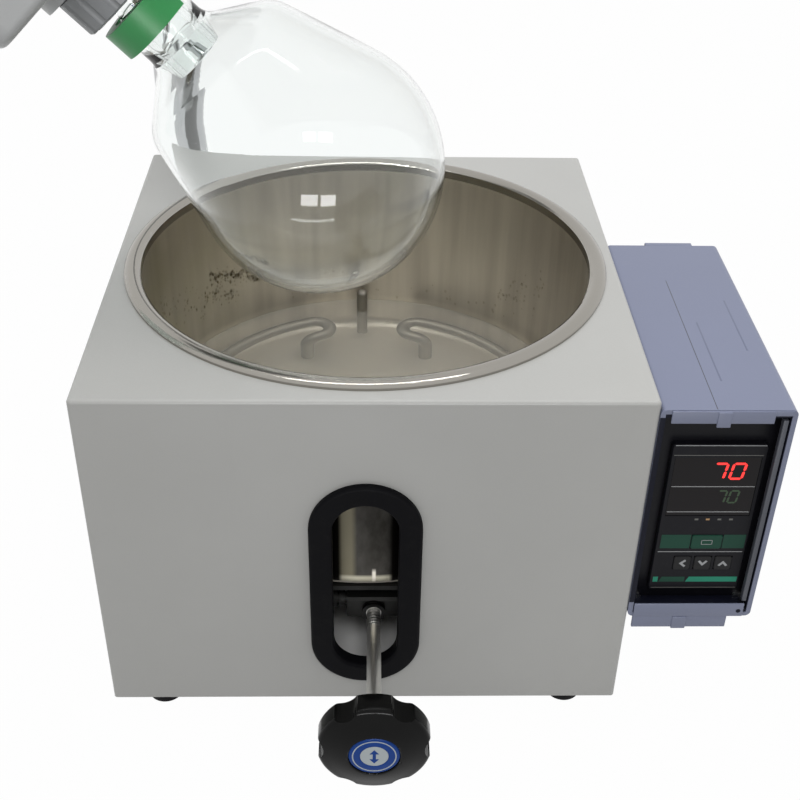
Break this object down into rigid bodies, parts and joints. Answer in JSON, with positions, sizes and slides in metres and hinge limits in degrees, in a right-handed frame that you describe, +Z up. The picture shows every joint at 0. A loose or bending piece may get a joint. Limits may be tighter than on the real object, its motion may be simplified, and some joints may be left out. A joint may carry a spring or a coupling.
{
  "type": "rotary evaporator",
  "caption": "Bench rotary evaporator: hand-jacked heated water bath with side control box, tilting rotary drive on a column, coil condenser and receiving flask.",
  "frame": {"origin": "middle of the machine's footprint, on the bench surface", "axes": "+Z up, +X to the right and +Y to the back, seen from the bath's front panel"},
  "size_m": [0.5635, 0.4835, 0.758],
  "materials": {
    "grey_paint": "semi-gloss powder coat",
    "plate_paint": "semi-gloss powder coat",
    "blue_grey_case": "satin",
    "stainless": "polished",
    "bright_steel": "turned",
    "black_steel": "satin black",
    "zinc": "zinc plated",
    "chrome": "chrome plated",
    "black_rubber": "matt",
    "black_knob": "glossy moulded",
    "blue_cap": "printed disc",
    "black_panel": "matt",
    "grey_plastic": "matt",
    "green_key": "silicone",
    "dark_key": "silicone",
    "smoke_window": "tinted",
    "clear_glass": "borosilicate",
    "ptfe": "PTFE",
    "head_paint": "semi-gloss",
    "gear_steel": "machined",
    "green_clip": "acetal"
  },
  "bodies": {
    "base": {"base_plate": "plate_paint", "rubber_feet": "black_rubber", "column": "chrome", "column_flange": "plate_paint", "jack_pedestal": "black_steel", "lower_rivets": "zinc"},
    "lower_front_arm": {"lower_front_arm": "black_steel"},
    "lower_rear_arm": {"lower_rear_arm": "black_steel"},
    "upper_front_arm": {"upper_front_arm": "black_steel"},
    "upper_rear_arm": {"upper_rear_arm": "black_steel"},
    "front_trunnion": {"front_trunnion": "black_steel"},
    "rear_trunnion": {"rear_trunnion": "black_steel"},
    "screw": {"jack_screw": "bright_steel", "star_knob": "black_knob", "knob_cap": "blue_cap"},
    "bath": {"jack_top_bracket": "black_steel", "upper_rivets": "zinc", "bath_housing": "grey_paint", "slot_grommet": "black_rubber", "basin": "stainless", "heater": "stainless", "floor_nuts": "zinc", "temperature_probe": "stainless", "case_left": "blue_grey_case", "case_right": "blue_grey_case", "case_bezel": "black_panel", "case_rear_plate": "black_panel", "case_screws": "zinc", "controller_case": "black_panel", "controller_face": "black_panel", "display_window": "smoke_window", "power_inlet": "black_panel", "power_switch": "black_panel"},
    "set_key": {"set_key": "green_key"},
    "left_key": {"left_key": "dark_key"},
    "down_key": {"down_key": "dark_key"},
    "up_key": {"up_key": "dark_key"},
    "rocker": {"switch_rocker": "black_panel"},
    "carriage": {"carriage": "head_paint"},
    "carriage_knob": {"carriage_knob": "black_knob"},
    "tilt_knob": {"tilt_knob": "black_knob"},
    "head": {"head_housing": "head_paint", "head_cover": "grey_plastic", "shaft_bearings": "gear_steel", "drive_motor": "gear_steel", "vacuum_seal": "ptfe", "condenser_nut": "grey_plastic", "condenser": "clear_glass", "cooling_coil": "clear_glass", "receiving_flask": "clear_glass", "ball_clamp": "bright_steel"},
    "speed_knob": {"speed_knob": "black_knob"},
    "pinion": {"pinion": "gear_steel"},
    "rotor": {"driven_gear": "gear_steel", "hollow_shaft": "bright_steel", "chuck_nut": "grey_plastic", "evaporating_flask": "clear_glass", "vapour_tube": "clear_glass", "flask_clip": "green_clip"},
    "stopcock": {"feed_stopcock": "ptfe"}
  },
  "joints": [
    {"name": "bath_lift", "type": "slide", "parent": "base", "child": "bath", "axis": [0, 0, 1], "range_m": [0, 0.034]},
    {"name": "lower_front_swing", "type": "hinge", "parent": "base", "child": "lower_front_arm", "pos_m": [0.0805, -0.0215, 0.0535], "axis": [-1, 0, 0], "range_deg": [0, 8.97]},
    {"name": "lower_rear_swing", "type": "hinge", "parent": "base", "child": "lower_rear_arm", "pos_m": [0.0805, -0.0095, 0.0535], "axis": [1, 0, 0], "range_deg": [0, 8.97]},
    {"name": "upper_front_swing", "type": "hinge", "parent": "bath", "child": "upper_front_arm", "pos_m": [0.0805, -0.0215, 0.0675], "axis": [1, 0, 0], "range_deg": [0, 8.97]},
    {"name": "upper_rear_swing", "type": "hinge", "parent": "bath", "child": "upper_rear_arm", "pos_m": [0.0805, -0.0095, 0.0675], "axis": [-1, 0, 0], "range_deg": [0, 8.97]},
    {"name": "front_trunnion_slide", "type": "slide", "parent": "base", "child": "front_trunnion", "axis": [0, 0.1413, 0.99], "range_m": [0, 0.01718]},
    {"name": "rear_trunnion_slide", "type": "slide", "parent": "base", "child": "rear_trunnion", "axis": [0, -0.1413, 0.99], "range_m": [0, 0.01718]},
    {"name": "jack_knob_turn", "type": "hinge", "parent": "front_trunnion", "child": "screw", "pos_m": [0.0805, -0.13128, 0.0605], "axis": [0, 1, 0], "range_deg": [0, 437.39]},
    {"name": "set_key_press", "type": "slide", "parent": "bath", "child": "set_key", "axis": [0, 1, 0], "range_m": [0, 0.0005], "stiffness_N_per_m": 900, "springref_m": -0.001},
    {"name": "left_key_press", "type": "slide", "parent": "bath", "child": "left_key", "axis": [0, 1, 0], "range_m": [0, 0.0005], "stiffness_N_per_m": 900, "springref_m": -0.001},
    {"name": "down_key_press", "type": "slide", "parent": "bath", "child": "down_key", "axis": [0, 1, 0], "range_m": [0, 0.0005], "stiffness_N_per_m": 900, "springref_m": -0.001},
    {"name": "up_key_press", "type": "slide", "parent": "bath", "child": "up_key", "axis": [0, 1, 0], "range_m": [0, 0.0005], "stiffness_N_per_m": 900, "springref_m": -0.001},
    {"name": "rocker_tilt", "type": "hinge", "parent": "bath", "child": "rocker", "pos_m": [0.249, 0.006, 0.16], "axis": [1, 0, 0], "range_deg": [-6, 6]},
    {"name": "carriage_slide", "type": "slide", "parent": "base", "child": "carriage", "axis": [0, 0, 1], "range_m": [-0.08, 0]},
    {"name": "carriage_knob_turn", "type": "hinge", "parent": "carriage", "child": "carriage_knob", "pos_m": [-0.085, 0.204, 0.43857], "axis": [1, 0, 0], "range_deg": [0, 180]},
    {"name": "tilt_knob_turn", "type": "hinge", "parent": "carriage", "child": "tilt_knob", "pos_m": [-0.0245, 0.02, 0.43857], "axis": [0, 1, 0], "range_deg": [0, 180]},
    {"name": "head_tilt", "type": "hinge", "parent": "carriage", "child": "head", "pos_m": [-0.054, 0.01, 0.43857], "axis": [0, -1, 0], "range_deg": [0, 15]},
    {"name": "rotor_spin", "type": "hinge", "parent": "head", "child": "rotor", "pos_m": [0.051, -0.04, 0.277], "axis": [-0.7071, 0, 0.7071], "continuous": true},
    {"name": "pinion_spin", "type": "hinge", "parent": "head", "child": "pinion", "pos_m": [-0.05259, -0.04, 0.46332], "axis": [-0.7071, 0, 0.7071], "continuous": true},
    {"name": "speed_knob_turn", "type": "hinge", "parent": "head", "child": "speed_knob", "pos_m": [-0.05648, -0.09, 0.46933], "axis": [0, -1, 0], "range_deg": [0, 270]},
    {"name": "stopcock_turn", "type": "hinge", "parent": "head", "child": "stopcock", "pos_m": [-0.13638, -0.04, 0.51388], "axis": [0, 1, 0], "range_deg": [-90, 90]}
  ],
  "couplings": [
    {"joint": "lower_front_swing", "follows": "bath_lift", "rad_per_m": 4.5962},
    {"joint": "lower_rear_swing", "follows": "bath_lift", "rad_per_m": 4.5962},
    {"joint": "upper_front_swing", "follows": "bath_lift", "rad_per_m": 4.5962},
    {"joint": "upper_rear_swing", "follows": "bath_lift", "rad_per_m": 4.5962},
    {"joint": "front_trunnion_slide", "follows": "bath_lift", "ratio": 0.50507},
    {"joint": "rear_trunnion_slide", "follows": "bath_lift", "ratio": 0.50507},
    {"joint": "jack_knob_turn", "follows": "bath_lift", "rad_per_m": 224.27},
    {"joint": "pinion_spin", "follows": "rotor_spin", "ratio": -3.3333}
  ]
}
